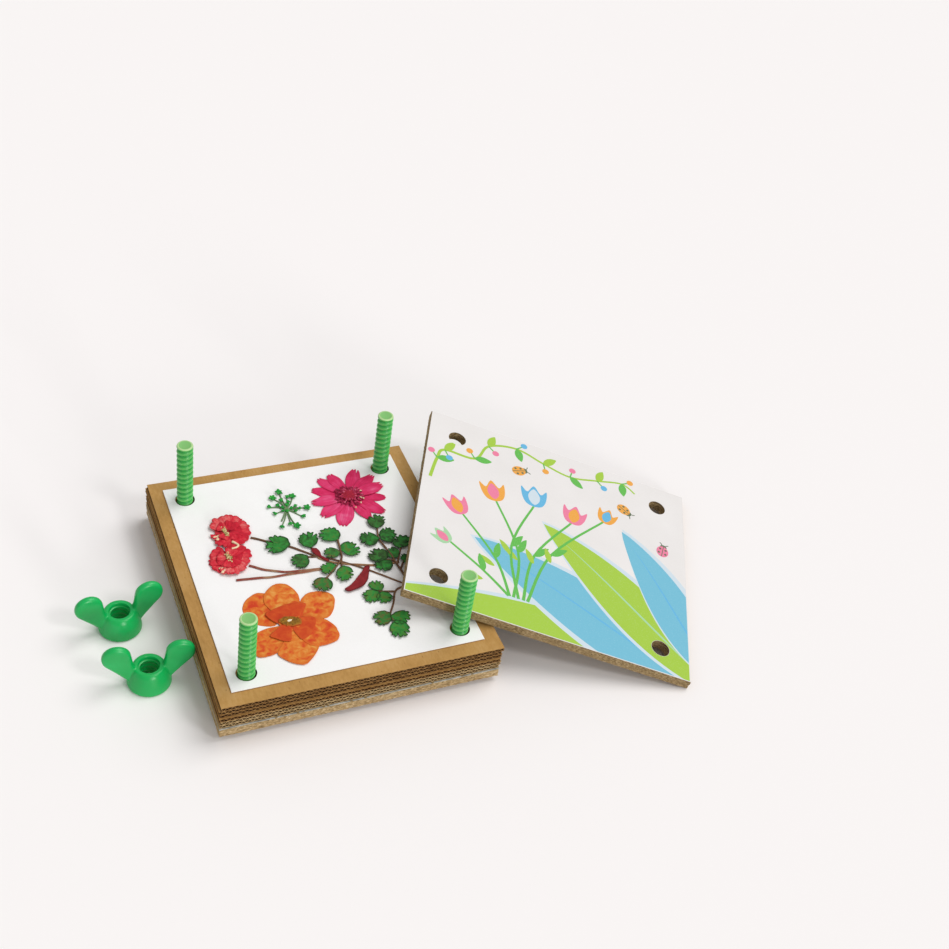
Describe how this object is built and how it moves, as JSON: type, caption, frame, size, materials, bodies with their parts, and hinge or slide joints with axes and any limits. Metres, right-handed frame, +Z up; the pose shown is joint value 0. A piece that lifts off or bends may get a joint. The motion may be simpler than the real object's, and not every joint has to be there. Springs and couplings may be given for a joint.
{
  "type": "flower press",
  "caption": "Opened hobby flower press: bolted stack of corrugated cards and a blotter with pressed flowers, its cover board leaning on the stack, wing nuts taken off.",
  "frame": {"origin": "centre of the base board's underside", "axes": "+X to the right along the stack's front edge, +Y to the back, +Z up"},
  "size_m": [0.2955, 0.1646, 0.053],
  "materials": {
    "particle_board": "pressed wood board with a matt face",
    "green_plastic": "moulded, half gloss",
    "grey_paper": "matt",
    "kraft_card": "matt brown kraft",
    "white_paper": "matt",
    "printed_paper": "printed, slight sheen",
    "pink_petal": "dry petal",
    "orange_petal": "dry petal",
    "red_petal": "dry petal",
    "green_leaf": "dry leaf",
    "brown_stem": "dry stem",
    "dark_red_leaf": "dry leaf"
  },
  "bodies": {
    "base": {"base_board": "particle_board", "bolt_front_left": "green_plastic", "bolt_front_right": "green_plastic", "bolt_back_left": "green_plastic", "bolt_back_right": "green_plastic"},
    "liner": {"liner_sheet": "grey_paper"},
    "card_1": {"corrugated_card_1": "kraft_card"},
    "card_2": {"corrugated_card_2": "kraft_card"},
    "card_3": {"corrugated_card_3": "kraft_card"},
    "card_4": {"corrugated_card_4": "kraft_card"},
    "card_5": {"corrugated_card_5": "kraft_card"},
    "card_6": {"corrugated_card_6": "kraft_card"},
    "blotter": {"blotting_sheet": "white_paper", "pink_flower": "pink_petal", "orange_flower": "orange_petal", "red_flower_upper": "red_petal", "red_flower_lower": "red_petal", "green_umbel": "green_leaf", "leaf_sprig_left": "green_leaf", "leaf_sprig_middle": "green_leaf", "leaf_sprig_right": "green_leaf", "leaf_sprig_lower": "green_leaf", "flower_stem_upper": "brown_stem", "flower_stem_lower": "brown_stem", "dark_leaf_1": "dark_red_leaf", "dark_leaf_2": "dark_red_leaf"},
    "cover": {"cover_board": "particle_board", "cover_print_sheet": "printed_paper"},
    "nut_1": {"wing_nut_1": "green_plastic"},
    "nut_2": {"wing_nut_2": "green_plastic"},
    "nut_3": {"wing_nut_3": "green_plastic"},
    "nut_4": {"wing_nut_4": "green_plastic"}
  },
  "joints": [
    {"name": "liner_lift", "type": "slide", "parent": "base", "child": "liner", "axis": [0, 0, 1], "range_m": [0, 0.05]},
    {"name": "card_1_lift", "type": "slide", "parent": "liner", "child": "card_1", "axis": [0, 0, 1], "range_m": [0, 0.05]},
    {"name": "card_2_lift", "type": "slide", "parent": "card_1", "child": "card_2", "axis": [0, 0, 1], "range_m": [0, 0.05]},
    {"name": "card_3_lift", "type": "slide", "parent": "card_2", "child": "card_3", "axis": [0, 0, 1], "range_m": [0, 0.05]},
    {"name": "card_4_lift", "type": "slide", "parent": "card_3", "child": "card_4", "axis": [0, 0, 1], "range_m": [0, 0.05]},
    {"name": "card_5_lift", "type": "slide", "parent": "card_4", "child": "card_5", "axis": [0, 0, 1], "range_m": [0, 0.05]},
    {"name": "card_6_lift", "type": "slide", "parent": "card_5", "child": "card_6", "axis": [0, 0, 1], "range_m": [0, 0.05]},
    {"name": "blotter_lift", "type": "slide", "parent": "card_6", "child": "blotter", "axis": [0, 0, 1], "range_m": [0, 0.05]},
    {"name": "cover_lift", "type": "slide", "parent": "blotter", "child": "cover", "axis": [0, 0, 1], "range_m": [0, 0.06]},
    {"name": "nut_1_turn", "type": "hinge", "parent": "base", "child": "nut_1", "pos_m": [-0.0792, -0.0281, -0.0025], "axis": [0, 0, 1], "continuous": true},
    {"name": "nut_2_turn", "type": "hinge", "parent": "base", "child": "nut_2", "pos_m": [-0.0845, 0.0038, -0.0025], "axis": [0, 0, 1], "continuous": true},
    {"name": "nut_3_turn", "type": "hinge", "parent": "base", "child": "nut_3", "pos_m": [0.0797, 0.03397, -0.0025], "axis": [0, 0, 1], "continuous": true},
    {"name": "nut_4_turn", "type": "hinge", "parent": "base", "child": "nut_4", "pos_m": [0.09357, 0.06202, -0.0025], "axis": [0, 0, 1], "continuous": true}
  ]
}
